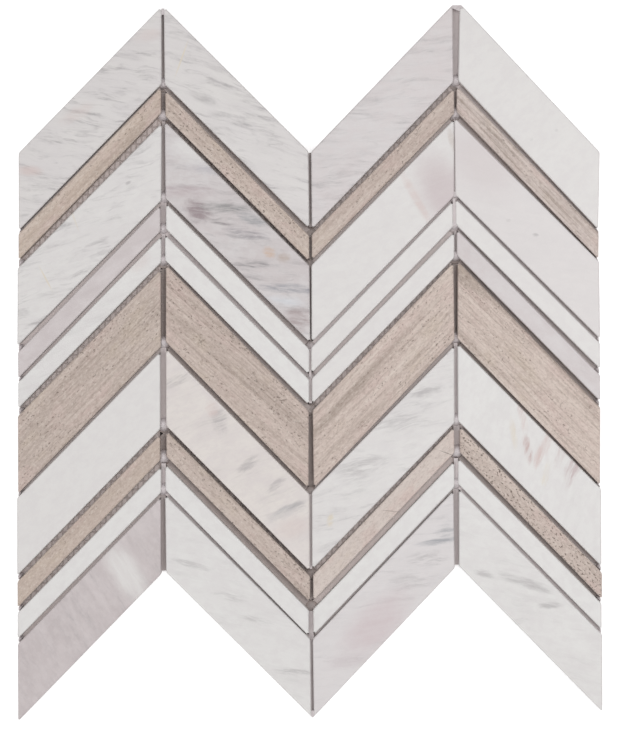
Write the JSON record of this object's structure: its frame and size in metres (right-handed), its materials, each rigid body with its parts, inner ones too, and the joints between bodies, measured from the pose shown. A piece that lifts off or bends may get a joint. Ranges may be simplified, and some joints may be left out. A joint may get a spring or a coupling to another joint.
{
  "type": "chevron mosaic tile sheet",
  "caption": "Sheet of mitred white and wood-vein marble strips laid in a chevron and glued face up on a glass-fibre net, for tiling walls",
  "frame": {"origin": "under the middle of the sheet, on the plane of the net's back", "axes": "+Z out of the stone face, +Y up the sheet towards the chevron peaks, +X to the right seen from the face"},
  "size_m": [0.3247, 0.3943, 0.0085],
  "materials": {
    "white_marble": "honed white marble with faint grey veins",
    "wood_vein_marble": "honed taupe marble with straight wood-like veins along the strip",
    "glass_net": "resin-coated glass-fibre yarns with adhesive"
  },
  "bodies": {
    "root": {"column1_row01_broad_white": "white_marble", "column2_row01_broad_white": "white_marble", "column3_row01_broad_white": "white_marble", "column4_row01_broad_white": "white_marble", "column1_row02_narrow_wood": "wood_vein_marble", "column2_row02_narrow_wood": "wood_vein_marble", "column3_row02_narrow_wood": "wood_vein_marble", "column4_row02_narrow_wood": "wood_vein_marble", "column1_row03_broad_white": "white_marble", "column2_row03_broad_white": "white_marble", "column3_row03_broad_white": "white_marble", "column4_row03_broad_white": "white_marble", "column1_row04_narrow_white": "white_marble", "column2_row04_narrow_white": "white_marble", "column3_row04_narrow_white": "white_marble", "column4_row04_narrow_white": "white_marble", "column1_row05_narrow_white": "white_marble", "column2_row05_narrow_white": "white_marble", "column3_row05_narrow_white": "white_marble", "column4_row05_narrow_white": "white_marble", "column1_row06_broad_wood": "wood_vein_marble", "column2_row06_broad_wood": "wood_vein_marble", "column3_row06_broad_wood": "wood_vein_marble", "column4_row06_broad_wood": "wood_vein_marble", "column1_row07_broad_white": "white_marble", "column2_row07_broad_white": "white_marble", "column3_row07_broad_white": "white_marble", "column4_row07_broad_white": "white_marble", "column1_row08_narrow_wood": "wood_vein_marble", "column2_row08_narrow_wood": "wood_vein_marble", "column3_row08_narrow_wood": "wood_vein_marble", "column4_row08_narrow_wood": "wood_vein_marble", "column1_row09_narrow_white": "white_marble", "column2_row09_narrow_white": "white_marble", "column3_row09_narrow_white": "white_marble", "column4_row09_narrow_white": "white_marble", "column1_row10_broad_white": "white_marble", "column2_row10_broad_white": "white_marble", "column3_row10_broad_white": "white_marble", "column4_row10_broad_white": "white_marble", "net_warp_yarns": "glass_net", "net_weft_yarns": "glass_net"}
  },
  "joints": []
}
